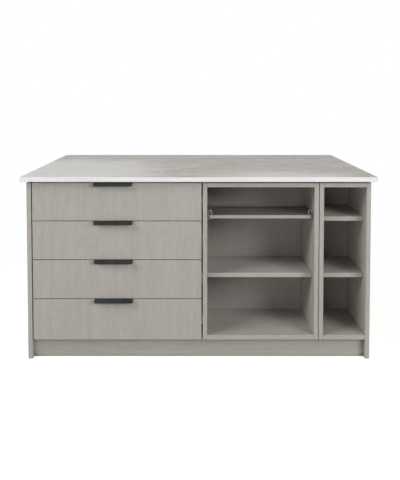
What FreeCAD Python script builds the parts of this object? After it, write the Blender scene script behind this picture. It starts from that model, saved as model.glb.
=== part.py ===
import FreeCAD, Part
import math
import os

from FreeCAD import Vector

# Closet island: a free-standing cabinet for a dressing room, with a stone worktop, four drawers on
# the left and two open bays on the right.
#
# Millimetres. X runs to the right, Y to the back and Z up. The origin is on the floor, below the
# middle of the worktop, and the drawers open towards -Y.

# --- Driving dimensions: the whole island -------------------------------------------------------
ISLAND_WIDTH = 1760.0
ISLAND_DEPTH = 1000.0
ISLAND_HEIGHT = 920.0
WORKTOP_THICKNESS = 25.0
WORKTOP_OVERHANG = 25.0
PACKER_HEIGHT = 8.0
PACKER_WIDTH = 60.0
PACKER_SETBACK = 26.0
PACKER_END_SETBACK = 10.0
BOARD = 22.0
BACK_BOARD = 8.0
PLINTH_HEIGHT = 97.0
PLINTH_SETBACK = 28.0
PLINTH_BOARD = 18.0
EASED_EDGE = 1.0
WORKTOP_EDGE_RADIUS = 2.5
WORKTOP_CORNER_BEVEL = 3.0
GROOVE_DEPTH = 8.0
GROOVE_PLAY = 0.5

# --- Driving dimensions: the open bays ----------------------------------------------------------
WIDE_BAY_LEFT = 42.0
WIDE_BAY_WIDTH = 533.0
BAY_JOINT = 3.0
NICHE_DEPTH = 350.0
SHELF_SETBACK = 52.0
SHELF_PLAY = 0.8
LOWER_SHELF_Z = 397.0
UPPER_SHELF_Z = 686.0
PIN_RADIUS = 2.5
PIN_LENGTH = 17.0
PIN_HOLE_RADIUS = 2.6
PIN_HOLE_DEPTH = 9.0
PIN_INSET = 38.0

# --- Driving dimensions: the pull-out shelf -----------------------------------------------------
PULL_OUT_BOARD = 16.0
PULL_OUT_Z = 703.0
PULL_OUT_SETBACK = 28.0
PULL_OUT_DEPTH = 240.0
PULL_OUT_RUNNER_HEIGHT = 17.0
PULL_OUT_RUNNER_LENGTH = 235.0
PULL_OUT_RUNNER_DROP = 1.5
GALLERY_ROD_RADIUS = 2.5
GALLERY_ROD_SIDES = 10
GALLERY_HEIGHT = 7.0
GALLERY_CURL_HEIGHT = 24.0
GALLERY_SETBACK = 8.0
GALLERY_OVERHANG = 6.0
GALLERY_RETURN = 16.0
GALLERY_BEND = 6.0
GALLERY_PLATE = 1.6
GALLERY_PLATE_MARGIN = 4.0

# --- Driving dimensions: the drawers ------------------------------------------------------------
DRAWER_NAMES = ("top", "second", "third", "bottom")
FRONT_HEIGHTS = {"top": 190.0, "second": 192.0, "third": 194.0, "bottom": 206.0}
FRONT_GAP = 3.0
FRONT_SIDE_GAP_LEFT = 5.5
FRONT_SIDE_GAP_RIGHT = 6.5
BOX_BOARD = 15.0
BOX_HEIGHT = 130.0
BOX_LENGTH = 450.0
BOX_RAISE = 30.0
BOX_BOTTOM_RAISE = 12.0
DRAWER_BACK_CLEARANCE = 23.0
TOP_RAIL_WIDTH = 88.0
BEHIND_FRONT_GAP = 3.0

# --- Driving dimensions: the edge pulls ---------------------------------------------------------
PULL_LENGTH = 192.0
PULL_OFFSET = -17.0
PULL_PROJECTION = 20.0
PULL_LIP = 17.0
PULL_HOOK = 14.0
PULL_SHEET = 1.6
PULL_BEND = 2.0
PULL_CORNER = 8.0

# --- Driving dimensions: the telescopic runners -------------------------------------------------
RUNNER_WIDTH = 12.7
RUNNER_HEIGHT = 45.7
RUNNER_LENGTH = 448.0
RUNNER_SHEET = 1.2
RUNNER_ROLL = 1.2
BALL_GAP = 4.0
BALL_PLAY = 0.3
DRAWER_MEMBER_LIP_U = 5.0
CAGE_LENGTH = 190.0
CAGE_WIDTH = 3.6
CAGE_U = 4.8
PULL_OUT_CAGE_LENGTH = 50.0

# --- Driving dimensions: the levelling feet -----------------------------------------------------
FOOT_SIDES = 10
FOOT_INSET = 50.0
FOOT_PAD_RADIUS = 26.0
FOOT_PAD_HEIGHT = 5.0
FOOT_SHOULDER_RADIUS = 19.0
FOOT_SHOULDER_HEIGHT = 5.0
FOOT_STEM_RADIUS = 12.0
FOOT_COLLAR_RADIUS = 17.0
FOOT_COLLAR_HEIGHT = 28.0
FOOT_PLATE_RADIUS = 30.0
FOOT_PLATE_HEIGHT = 6.0

# --- Positions that follow from the driving dimensions ------------------------------------------
HALF_WIDTH = ISLAND_WIDTH / 2 - WORKTOP_OVERHANG
FRONT_Y = -ISLAND_DEPTH / 2 + WORKTOP_OVERHANG
REAR_Y = -FRONT_Y
REAR_PANEL_Y = REAR_Y - BOARD
WORKTOP_Z = ISLAND_HEIGHT - WORKTOP_THICKNESS
CARCASS_TOP = WORKTOP_Z - PACKER_HEIGHT
FLOOR_BOARD_TOP = PLINTH_HEIGHT + BOARD
TOP_BOARD_UNDERSIDE = CARCASS_TOP - BOARD
END_INNER_X = HALF_WIDTH - BOARD
PARTITION_X = WIDE_BAY_LEFT - BOARD
WIDE_BAY_RIGHT = WIDE_BAY_LEFT + WIDE_BAY_WIDTH
NARROW_SIDE_X = WIDE_BAY_RIGHT + BOARD + BAY_JOINT
NARROW_BAY_LEFT = NARROW_SIDE_X + BOARD
NICHE_BACK_Y = FRONT_Y + NICHE_DEPTH
FRONT_BACK_Y = FRONT_Y + BOARD
BOX_BACK_Y = FRONT_BACK_Y + BOX_LENGTH
DRAWER_BACK_Y = BOX_BACK_Y + DRAWER_BACK_CLEARANCE
BOX_LEFT = -END_INNER_X + RUNNER_WIDTH
BOX_RIGHT = PARTITION_X - RUNNER_WIDTH
RUNNER_START_Y = FRONT_BACK_Y + 1.0
PULL_OUT_TOP = PULL_OUT_Z + PULL_OUT_BOARD
PULL_OUT_Y = FRONT_Y + PULL_OUT_SETBACK
PULL_OUT_LEFT = WIDE_BAY_LEFT + RUNNER_WIDTH
PULL_OUT_RIGHT = WIDE_BAY_RIGHT - RUNNER_WIDTH
PULL_OUT_MIDDLE_Z = PULL_OUT_Z + PULL_OUT_BOARD / 2 - PULL_OUT_RUNNER_DROP

# --- Places of the runners' strips: u across the runner, half heights to the middle of the strip --
CABINET_WEB_U = RUNNER_SHEET / 2
MIDDLE_WEB_U = CABINET_WEB_U + 2 * RUNNER_SHEET
DRAWER_WEB_U = RUNNER_WIDTH - RUNNER_SHEET / 2
CHANNEL_LIP_U = RUNNER_WIDTH - 2 * RUNNER_SHEET
CABINET_HALF = RUNNER_HEIGHT / 2 - RUNNER_SHEET / 2
MIDDLE_HALF = CABINET_HALF - RUNNER_SHEET - BALL_GAP
DRAWER_HALF = MIDDLE_HALF - RUNNER_SHEET - BALL_GAP
PULL_OUT_CABINET_HALF = PULL_OUT_RUNNER_HEIGHT / 2 - RUNNER_SHEET / 2
PULL_OUT_INNER_HALF = PULL_OUT_CABINET_HALF - RUNNER_SHEET - BALL_GAP / 2


# --- Shared helpers -----------------------------------------------------------------------------
TOUCHING = 0.01
MITRED = 2


def block(x_range, y_range, z_range):
    """A rectangular board between three pairs of limits."""
    size = [high - low for low, high in (x_range, y_range, z_range)]
    return Part.makeBox(size[0], size[1], size[2], Vector(x_range[0], y_range[0], z_range[0]))


def centred(middle, length):
    """The two limits of a length about its middle."""
    return (middle - length / 2, middle + length / 2)


def edges_on_plane(shape, axis, value):
    """The edges that lie wholly in the plane where the named axis has the value."""
    return [edge for edge in shape.Edges
            if all(abs(getattr(vertex.Point, axis) - value) < TOUCHING for vertex in edge.Vertexes)]


def edges_along(shape, axis):
    """The straight edges that run along the named axis."""
    others = [name for name in "xyz" if name != axis]
    found = []
    for edge in shape.Edges:
        span = edge.Vertexes[0].Point - edge.Vertexes[-1].Point
        if all(abs(getattr(span, name)) < TOUCHING for name in others):
            found.append(edge)
    return found


def ease(shape, axis, value):
    """Take the sharp arris off every edge of one face."""
    return shape.makeChamfer(EASED_EDGE, edges_on_plane(shape, axis, value))


def grouped(solids):
    """Separate pieces that share one node."""
    return Part.makeCompound(solids)


def rounded_path(points, radius):
    """An open wire through the points, with a tangent arc of the radius at each inner point."""
    edges = []
    start = points[0]
    for before, corner, after in zip(points, points[1:], points[2:]):
        inward = (before - corner).normalize()
        outward = (after - corner).normalize()
        half_turn = inward.getAngle(outward) / 2
        reach = radius / math.tan(half_turn)
        arc_start = corner + inward * reach
        arc_end = corner + outward * reach
        bisector = (inward + outward).normalize()
        centre = corner + bisector * (radius / math.sin(half_turn))
        edges.append(Part.LineSegment(start, arc_start).toShape())
        edges.append(Part.Arc(arc_start, centre - bisector * radius, arc_end).toShape())
        start = arc_end
    edges.append(Part.LineSegment(start, points[-1]).toShape())
    return Part.Wire(edges)


def thickened(middle_line, thickness):
    """The section of a sheet, with mitred corners and square ends, round its middle line."""
    half = thickness / 2
    sides = [middle_line.makeOffset2D(distance, MITRED, openResult=True) for distance in (half, -half)]
    edges = sides[0].Edges + sides[1].Edges
    for tip in (middle_line.OrderedVertexes[0].Point, middle_line.OrderedVertexes[-1].Point):
        corners = [vertex.Point for side in sides for vertex in side.Vertexes
                   if abs(vertex.Point.distanceToPoint(tip) - half) < TOUCHING]
        edges.append(Part.makeLine(corners[0], corners[1]))
    return Part.Face(Part.Wire(Part.sortEdges(edges)[0]))


def bent_sheet(points, thickness, bend, run):
    """Sheet metal bent along the points' middle line and drawn out along the run vector."""
    return thickened(rounded_path(points, bend), thickness).extrude(run)


def polygon_ring(centre, radius, sides):
    """A level regular polygon."""
    angles = [2 * math.pi * index / sides for index in range(sides)]
    corners = [centre + Vector(radius * math.cos(angle), radius * math.sin(angle), 0) for angle in angles]
    return Part.makePolygon(corners + corners[:1])


# --- Worktop and carcass ------------------------------------------------------------------------
def worktop():
    """A slab with small bevels at its corners and rounded arrises above and below."""
    slab = block(centred(0, ISLAND_WIDTH), centred(0, ISLAND_DEPTH), (WORKTOP_Z, ISLAND_HEIGHT))
    slab = slab.makeChamfer(WORKTOP_CORNER_BEVEL, edges_along(slab, "z"))
    arrises = edges_on_plane(slab, "z", ISLAND_HEIGHT) + edges_on_plane(slab, "z", WORKTOP_Z)
    return slab.makeFillet(WORKTOP_EDGE_RADIUS, arrises)


def worktop_packers():
    """Strips between carcass and slab, set back so that the slab shows a shadow line below it."""
    z_range = (CARCASS_TOP, WORKTOP_Z)
    outer_x = HALF_WIDTH - PACKER_END_SETBACK
    outer_y = REAR_Y - PACKER_SETBACK
    inner_y = outer_y - PACKER_WIDTH
    strips = [block((-outer_x, outer_x), (-outer_y, -inner_y), z_range),
              block((-outer_x, outer_x), (inner_y, outer_y), z_range)]
    middles = (-outer_x + PACKER_WIDTH / 2, PARTITION_X + BOARD / 2,
               NARROW_SIDE_X - BAY_JOINT / 2, outer_x - PACKER_WIDTH / 2)
    for middle in middles:
        strips.append(block(centred(middle, PACKER_WIDTH), (-inner_y, inner_y), z_range))
    return grouped(strips)


def upright(x_left, y_back, z_bottom):
    """A full-depth upright board with an eased front edge."""
    board = block((x_left, x_left + BOARD), (FRONT_Y, y_back), (z_bottom, CARCASS_TOP))
    return ease(board, "y", FRONT_Y)


def back_groove(x_face, direction, back_y):
    """The groove that holds a back board, cut into the face of an upright."""
    x_limits = sorted((x_face, x_face - direction * GROOVE_DEPTH))
    return block(x_limits, (back_y, back_y + BACK_BOARD),
                 (FLOOR_BOARD_TOP - GROOVE_DEPTH, TOP_BOARD_UNDERSIDE + GROOVE_DEPTH))


def pin_rows(shelf_z):
    """Where the pins of one shelf stand: two on each side, just below the shelf."""
    first_y = FRONT_Y + SHELF_SETBACK + PIN_INSET
    last_y = NICHE_BACK_Y - PIN_INSET
    return [Vector(0, y, shelf_z - PIN_RADIUS) for y in (first_y, last_y)]


def pin_holes(x_face, direction, shelf_heights):
    """Blind holes for shelf pins; direction points out of the face."""
    holes = []
    for shelf_z in shelf_heights:
        for place in pin_rows(shelf_z):
            start = Vector(x_face - direction * PIN_HOLE_DEPTH, place.y, place.z)
            holes.append(Part.makeCylinder(PIN_HOLE_RADIUS, PIN_HOLE_DEPTH, start, Vector(direction, 0, 0)))
    return holes


def shelf_pins():
    """Steel pins, half in their holes and half under the shelves."""
    faces = [(WIDE_BAY_LEFT, 1, (LOWER_SHELF_Z,)), (WIDE_BAY_RIGHT, -1, (LOWER_SHELF_Z,)),
             (NARROW_BAY_LEFT, 1, (LOWER_SHELF_Z, UPPER_SHELF_Z)),
             (END_INNER_X, -1, (LOWER_SHELF_Z, UPPER_SHELF_Z))]
    pins = []
    for x_face, direction, shelf_heights in faces:
        for shelf_z in shelf_heights:
            for place in pin_rows(shelf_z):
                start = Vector(x_face - direction * (PIN_HOLE_DEPTH - GROOVE_PLAY), place.y, place.z)
                pins.append(Part.makeCylinder(PIN_RADIUS, PIN_LENGTH, start, Vector(direction, 0, 0)))
    return grouped(pins)


def left_end_panel():
    panel = ease(upright(-HALF_WIDTH, REAR_Y, 0), "y", REAR_Y)
    return panel.cut(back_groove(-END_INNER_X, 1, DRAWER_BACK_Y))


def right_end_panel():
    panel = ease(upright(END_INNER_X, REAR_Y, 0), "y", REAR_Y)
    holes = pin_holes(END_INNER_X, -1, (LOWER_SHELF_Z, UPPER_SHELF_Z))
    return panel.cut([back_groove(END_INNER_X, -1, NICHE_BACK_Y)] + holes)


def wide_bay_left_side():
    side = upright(PARTITION_X, REAR_PANEL_Y, PLINTH_HEIGHT)
    grooves = [back_groove(WIDE_BAY_LEFT, 1, NICHE_BACK_Y), back_groove(PARTITION_X, -1, DRAWER_BACK_Y)]
    return side.cut(grooves + pin_holes(WIDE_BAY_LEFT, 1, (LOWER_SHELF_Z,)))


def wide_bay_right_side():
    side = upright(WIDE_BAY_RIGHT, REAR_PANEL_Y, PLINTH_HEIGHT)
    holes = pin_holes(WIDE_BAY_RIGHT, -1, (LOWER_SHELF_Z,))
    return side.cut([back_groove(WIDE_BAY_RIGHT, -1, NICHE_BACK_Y)] + holes)


def narrow_bay_left_side():
    side = upright(NARROW_SIDE_X, REAR_PANEL_Y, PLINTH_HEIGHT)
    holes = pin_holes(NARROW_BAY_LEFT, 1, (LOWER_SHELF_Z, UPPER_SHELF_Z))
    return side.cut([back_groove(NARROW_BAY_LEFT, 1, NICHE_BACK_Y)] + holes)


def bay_bottom(x_range):
    """The floor of an open bay, grooved across for the back board."""
    board = ease(block(x_range, (FRONT_Y, REAR_PANEL_Y), (PLINTH_HEIGHT, FLOOR_BOARD_TOP)), "y", FRONT_Y)
    groove = block(x_range, (NICHE_BACK_Y, NICHE_BACK_Y + BACK_BOARD),
                   (FLOOR_BOARD_TOP - GROOVE_DEPTH, FLOOR_BOARD_TOP))
    return board.cut(groove)


def bay_top(x_range):
    """The top of an open bay, grooved across for the back board."""
    board = ease(block(x_range, (FRONT_Y, REAR_PANEL_Y), (TOP_BOARD_UNDERSIDE, CARCASS_TOP)), "y", FRONT_Y)
    groove = block(x_range, (NICHE_BACK_Y, NICHE_BACK_Y + BACK_BOARD),
                   (TOP_BOARD_UNDERSIDE, TOP_BOARD_UNDERSIDE + GROOVE_DEPTH))
    return board.cut(groove)


def back_board(x_range, y_front):
    """A thin back that stands in the grooves of the boards round it."""
    reach = GROOVE_DEPTH - GROOVE_PLAY
    return block((x_range[0] - reach, x_range[1] + reach), (y_front, y_front + BACK_BOARD),
                 (FLOOR_BOARD_TOP - reach, TOP_BOARD_UNDERSIDE + reach))


def bay_shelf(x_range, z_bottom):
    """A loose shelf on pins, set back from the front."""
    shelf_front = FRONT_Y + SHELF_SETBACK
    shelf = block((x_range[0] + SHELF_PLAY, x_range[1] - SHELF_PLAY),
                  (shelf_front, NICHE_BACK_Y - SHELF_PLAY), (z_bottom, z_bottom + BOARD))
    return ease(shelf, "y", shelf_front)


def drawer_bay_bottom():
    board = block((-END_INNER_X, PARTITION_X), (FRONT_BACK_Y + BEHIND_FRONT_GAP, REAR_PANEL_Y),
                  (PLINTH_HEIGHT, FLOOR_BOARD_TOP))
    groove = block((-END_INNER_X, PARTITION_X), (DRAWER_BACK_Y, DRAWER_BACK_Y + BACK_BOARD),
                   (FLOOR_BOARD_TOP - GROOVE_DEPTH, FLOOR_BOARD_TOP))
    return board.cut(groove)


def drawer_bay_back():
    """The dust board behind the drawers, closed below and open at the top between the rails."""
    reach = GROOVE_DEPTH - GROOVE_PLAY
    return block((-END_INNER_X - reach, PARTITION_X + reach), (DRAWER_BACK_Y, DRAWER_BACK_Y + BACK_BOARD),
                 (FLOOR_BOARD_TOP - reach, TOP_BOARD_UNDERSIDE + reach))


def drawer_bay_top_rails():
    """Flat rails at the front and the back of the drawer bay, below the packers."""
    x_range = (-END_INNER_X, PARTITION_X)
    z_range = (TOP_BOARD_UNDERSIDE, CARCASS_TOP)
    front_start = FRONT_BACK_Y + BEHIND_FRONT_GAP
    front_rail = block(x_range, (front_start, front_start + TOP_RAIL_WIDTH), z_range)
    rear_rail = block(x_range, (REAR_PANEL_Y - TOP_RAIL_WIDTH, REAR_PANEL_Y), z_range)
    return grouped([front_rail, rear_rail])


def plinth(y_face, direction):
    """A recessed plinth board between the end panels; direction points into the cabinet."""
    y_limits = sorted((y_face, y_face + direction * PLINTH_BOARD))
    return block((-END_INNER_X, END_INNER_X), y_limits, (0, PLINTH_HEIGHT))


def rear_panel(x_range):
    """A finished panel that closes the back, flush with the end panels."""
    panel = block(x_range, (REAR_PANEL_Y, REAR_Y), (PLINTH_HEIGHT, CARCASS_TOP))
    return ease(panel, "y", REAR_Y)


def levelling_foot(x, y):
    """A plastic cabinet foot with flats for turning it: pad, stem, collar and the plate on top."""
    pad_top = FOOT_PAD_HEIGHT
    shoulder_top = pad_top + FOOT_SHOULDER_HEIGHT
    plate_z = PLINTH_HEIGHT - FOOT_PLATE_HEIGHT
    collar_z = plate_z - FOOT_COLLAR_HEIGHT
    steps = ((FOOT_PAD_RADIUS, 0, pad_top), (FOOT_SHOULDER_RADIUS, pad_top, shoulder_top),
             (FOOT_STEM_RADIUS, shoulder_top, collar_z), (FOOT_COLLAR_RADIUS, collar_z, plate_z),
             (FOOT_PLATE_RADIUS, plate_z, PLINTH_HEIGHT))
    lengths = []
    for radius, z_low, z_high in steps:
        ring = polygon_ring(Vector(x, y, z_low), radius, FOOT_SIDES)
        lengths.append(Part.Face(ring).extrude(Vector(0, 0, z_high - z_low)))
    return lengths[0].fuse(lengths[1:])


def levelling_feet():
    columns = (-END_INNER_X + FOOT_INSET, PARTITION_X - FOOT_INSET, WIDE_BAY_LEFT + FOOT_INSET,
               WIDE_BAY_RIGHT - FOOT_INSET, (NARROW_BAY_LEFT + END_INNER_X) / 2)
    row = REAR_Y - PLINTH_SETBACK - PLINTH_BOARD - FOOT_INSET
    return grouped([levelling_foot(x, y) for x in columns for y in (-row, row)])


# --- Telescopic runners -------------------------------------------------------------------------
# A runner is drawn beside a vertical face at x_face. Distances u are measured from that face
# towards the drawer, so direction is +1 on a left-hand side and -1 on a right-hand side.
def channel(x_face, direction, web_u, lip_u, half_height, y_start, length, z_middle):
    """One rolled C-section: a web, two flanges from web_u to lip_u, and lips turned inwards.

    The rolled corners and lips are drawn as 45-degree flats.
    """
    roll_u = math.copysign(RUNNER_ROLL, lip_u - web_u)
    half_outline = [(lip_u, half_height - RUNNER_ROLL), (lip_u - roll_u, half_height),
                    (web_u + roll_u, half_height), (web_u, half_height - RUNNER_ROLL)]
    upper = [Vector(x_face + direction * u, y_start, z_middle + z) for u, z in half_outline]
    lower = [Vector(x_face + direction * u, y_start, z_middle - z) for u, z in reversed(half_outline)]
    return thickened(Part.makePolygon(upper + lower), RUNNER_SHEET).extrude(Vector(0, length, 0))


def cage_bar(x_face, direction, z_limits, y_limits, z_middle):
    """One row of ball cage, as a plain bar between the flanges of two members."""
    x_limits = sorted((x_face + direction * CAGE_U, x_face + direction * (CAGE_U + CAGE_WIDTH)))
    z_low, z_high = sorted(z_limits)
    return block(x_limits, y_limits, (z_middle + z_low, z_middle + z_high))


def race_on_inner(outer_half, inner_half):
    """The height of a cage that lies on the inner of two members, clear of the outer one."""
    return (inner_half + RUNNER_SHEET / 2, outer_half - RUNNER_SHEET / 2 - BALL_PLAY)


def race_on_outer(outer_half, inner_half):
    """The height of a cage that lies against the outer of two members, clear of the inner one."""
    return (inner_half + RUNNER_SHEET / 2 + BALL_PLAY, outer_half - RUNNER_SHEET / 2)


def cage_rows(x_face, direction, race, y_limits, z_middle):
    """The two rows of one ball cage, in the upper and the lower race."""
    return [cage_bar(x_face, direction, (sign * race[0], sign * race[1]), y_limits, z_middle)
            for sign in (1, -1)]


def cabinet_member(x_face, direction, half_height, y_start, length, z_middle):
    return channel(x_face, direction, CABINET_WEB_U, CHANNEL_LIP_U, half_height, y_start, length, z_middle)


def middle_member(x_face, direction, z_middle):
    """The middle section and the four ball-cage rows that it carries.

    The outer rows sit at its rear end and the inner rows at its front end, where they stay inside
    both neighbours over the whole travel.
    """
    section = channel(x_face, direction, MIDDLE_WEB_U, CHANNEL_LIP_U, MIDDLE_HALF,
                      RUNNER_START_Y, RUNNER_LENGTH, z_middle)
    end_y = RUNNER_START_Y + RUNNER_LENGTH
    outer_rows = cage_rows(x_face, direction, race_on_inner(CABINET_HALF, MIDDLE_HALF),
                           (end_y - CAGE_LENGTH, end_y), z_middle)
    inner_rows = cage_rows(x_face, direction, race_on_outer(MIDDLE_HALF, DRAWER_HALF),
                           (RUNNER_START_Y, RUNNER_START_Y + CAGE_LENGTH), z_middle)
    return [section] + outer_rows + inner_rows


def drawer_member(x_face, direction, half_height, y_start, length, z_middle):
    """The innermost section, open towards the cabinet and screwed to the drawer."""
    return channel(x_face, direction, DRAWER_WEB_U, DRAWER_MEMBER_LIP_U, half_height,
                   y_start, length, z_middle)


def runner_sides():
    """The two vertical faces of the drawer bay and the direction from each towards the drawer."""
    return ((-END_INNER_X, 1), (PARTITION_X, -1))


def drawer_runner_cabinet_members():
    return grouped([cabinet_member(x_face, direction, CABINET_HALF, RUNNER_START_Y,
                                   RUNNER_LENGTH, runner_middle_z(name))
                    for name in DRAWER_NAMES for x_face, direction in runner_sides()])


def drawer_runner_middle_members(name):
    pieces = []
    for x_face, direction in runner_sides():
        pieces += middle_member(x_face, direction, runner_middle_z(name))
    return grouped(pieces)


def drawer_runner_inner_members(name):
    return grouped([drawer_member(x_face, direction, DRAWER_HALF, RUNNER_START_Y, RUNNER_LENGTH,
                                  runner_middle_z(name))
                    for x_face, direction in runner_sides()])


# --- Drawers ------------------------------------------------------------------------------------
def front_bottom_z(name):
    """The lower edge of one drawer front, counted up from the bottom drawer."""
    below = DRAWER_NAMES[DRAWER_NAMES.index(name) + 1:]
    return PLINTH_HEIGHT + sum(FRONT_HEIGHTS[other] + FRONT_GAP for other in below)


def front_top_z(name):
    return front_bottom_z(name) + FRONT_HEIGHTS[name]


def box_bottom_z(name):
    return front_bottom_z(name) + BOX_RAISE


def runner_middle_z(name):
    return box_bottom_z(name) + BOX_HEIGHT / 2


def front_x_range():
    return (-END_INNER_X + FRONT_SIDE_GAP_LEFT, PARTITION_X - FRONT_SIDE_GAP_RIGHT)


def drawer_front(name):
    front = block(front_x_range(), (FRONT_Y, FRONT_BACK_Y), (front_bottom_z(name), front_top_z(name)))
    return ease(ease(front, "y", FRONT_Y), "y", FRONT_BACK_Y)


def drawer_bottom(name, reach):
    """The drawer's bottom board, reaching into the boards round it."""
    z_low = box_bottom_z(name) + BOX_BOTTOM_RAISE
    return block((BOX_LEFT + BOX_BOARD - reach, BOX_RIGHT - BOX_BOARD + reach),
                 (FRONT_BACK_Y + BOX_BOARD - reach, BOX_BACK_Y - BOX_BOARD + reach),
                 (z_low, z_low + BACK_BOARD))


def drawer_sides(name):
    groove = drawer_bottom(name, GROOVE_DEPTH)
    z_range = (box_bottom_z(name), box_bottom_z(name) + BOX_HEIGHT)
    y_range = (FRONT_BACK_Y, BOX_BACK_Y)
    sides = [block((BOX_LEFT, BOX_LEFT + BOX_BOARD), y_range, z_range),
             block((BOX_RIGHT - BOX_BOARD, BOX_RIGHT), y_range, z_range)]
    return grouped([side.cut(groove) for side in sides])


def drawer_box_ends(name):
    """The box front, behind the drawer front, and the box back."""
    groove = drawer_bottom(name, GROOVE_DEPTH)
    z_range = (box_bottom_z(name), box_bottom_z(name) + BOX_HEIGHT)
    x_range = (BOX_LEFT + BOX_BOARD, BOX_RIGHT - BOX_BOARD)
    ends = [block(x_range, (FRONT_BACK_Y, FRONT_BACK_Y + BOX_BOARD), z_range),
            block(x_range, (BOX_BACK_Y - BOX_BOARD, BOX_BACK_Y), z_range)]
    return grouped([end.cut(groove) for end in ends])


def drawer_pull(name):
    """An edge pull: one sheet that hooks over the front's top edge and turns down as a lip."""
    left, right = front_x_range()
    x_range = centred((left + right) / 2 + PULL_OFFSET, PULL_LENGTH)
    half = PULL_SHEET / 2
    plate_z = front_top_z(name) + half
    lip_y = FRONT_Y - PULL_PROJECTION + half
    hook_y = FRONT_BACK_Y + half
    lip_bottom = front_top_z(name) + PULL_SHEET - PULL_LIP
    points = [Vector(x_range[0], hook_y, plate_z - PULL_HOOK), Vector(x_range[0], hook_y, plate_z),
              Vector(x_range[0], lip_y, plate_z), Vector(x_range[0], lip_y, lip_bottom)]
    sheet = bent_sheet(points, PULL_SHEET, PULL_BEND, Vector(PULL_LENGTH, 0, 0))
    lip_ends = [edge for edge in edges_along(sheet, "y")
                if abs(edge.Vertexes[0].Point.z - lip_bottom) < TOUCHING]
    return sheet.makeFillet(PULL_CORNER, lip_ends)


# --- Pull-out shelf -----------------------------------------------------------------------------
def pull_out_shelf_board():
    board = block((PULL_OUT_LEFT, PULL_OUT_RIGHT), (PULL_OUT_Y, PULL_OUT_Y + PULL_OUT_DEPTH),
                  (PULL_OUT_Z, PULL_OUT_TOP))
    return ease(board, "y", PULL_OUT_Y)


def gallery_rail(left, right, front, back):
    """The bent wire: low round the sides and back, with each front end curled up, inwards and down.

    The round rod is drawn with flats, which keeps its bends light.
    """
    plate_top = PULL_OUT_TOP + GALLERY_PLATE
    rail_z = PULL_OUT_TOP + GALLERY_HEIGHT
    curl_z = PULL_OUT_TOP + GALLERY_CURL_HEIGHT
    points = []
    for side, inward in ((left, 1), (right, -1)):
        foot_x = side + inward * GALLERY_RETURN
        run = [Vector(foot_x, front, plate_top), Vector(foot_x, front, curl_z),
               Vector(side, front, curl_z), Vector(side, front, rail_z), Vector(side, back, rail_z)]
        points += run[::inward]
    path = rounded_path(points, GALLERY_BEND)
    ring = polygon_ring(points[0], GALLERY_ROD_RADIUS, GALLERY_ROD_SIDES)
    return path.makePipeShell([ring], True, False)


def gallery_post(x, y, z_bottom):
    """A short upright of the same rod under the rail."""
    ring = polygon_ring(Vector(x, y, z_bottom), GALLERY_ROD_RADIUS, GALLERY_ROD_SIDES)
    return Part.Face(ring).extrude(Vector(0, 0, PULL_OUT_TOP + GALLERY_HEIGHT - z_bottom))


def gallery_plate(x_outer, direction, y_post, y_end):
    """A flat foot that is screwed to the board and reaches past its edge; direction points inwards."""
    reach = GALLERY_RETURN + 2 * GALLERY_PLATE_MARGIN
    x_start = x_outer - direction * GALLERY_PLATE_MARGIN
    y_limits = sorted((y_post, y_end))
    return block(sorted((x_start, x_start + direction * reach)),
                 (y_limits[0] - GALLERY_PLATE_MARGIN, y_limits[1] + GALLERY_PLATE_MARGIN),
                 (PULL_OUT_TOP, PULL_OUT_TOP + GALLERY_PLATE))


def pull_out_shelf_gallery():
    """A low wire rail on four plates, its sides just outside the board and its front ends curled up."""
    left = PULL_OUT_LEFT - GALLERY_OVERHANG
    right = PULL_OUT_RIGHT + GALLERY_OVERHANG
    front = PULL_OUT_Y + GALLERY_SETBACK
    back = PULL_OUT_Y + PULL_OUT_DEPTH - GALLERY_SETBACK
    pieces = []
    for x, direction in ((left, 1), (right, -1)):
        for y_end, inward in ((front, 1), (back, -1)):
            y_post = y_end + inward * GALLERY_BEND
            pieces.append(gallery_plate(x, direction, y_post, y_end))
            pieces.append(gallery_post(x, y_post, PULL_OUT_TOP + GALLERY_PLATE))
    pieces.append(gallery_post((left + right) / 2, back, PULL_OUT_TOP))
    return gallery_rail(left, right, front, back).fuse(pieces)


def pull_out_runner_sides():
    return ((WIDE_BAY_LEFT, 1), (WIDE_BAY_RIGHT, -1))


def pull_out_shelf_runner_cabinet_members():
    return grouped([cabinet_member(x_face, direction, PULL_OUT_CABINET_HALF, PULL_OUT_Y,
                                   PULL_OUT_RUNNER_LENGTH, PULL_OUT_MIDDLE_Z)
                    for x_face, direction in pull_out_runner_sides()])


def pull_out_shelf_runner_inner_members():
    """The moving sections, with a ball-cage row above and below each one at its rear end."""
    race = race_on_inner(PULL_OUT_CABINET_HALF, PULL_OUT_INNER_HALF)
    end_y = PULL_OUT_Y + PULL_OUT_RUNNER_LENGTH
    cage_y = (end_y - PULL_OUT_CAGE_LENGTH, end_y)
    pieces = []
    for x_face, direction in pull_out_runner_sides():
        pieces.append(drawer_member(x_face, direction, PULL_OUT_INNER_HALF, PULL_OUT_Y,
                                    PULL_OUT_RUNNER_LENGTH, PULL_OUT_MIDDLE_Z))
        pieces += cage_rows(x_face, direction, race, cage_y, PULL_OUT_MIDDLE_Z)
    return grouped(pieces)


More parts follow.
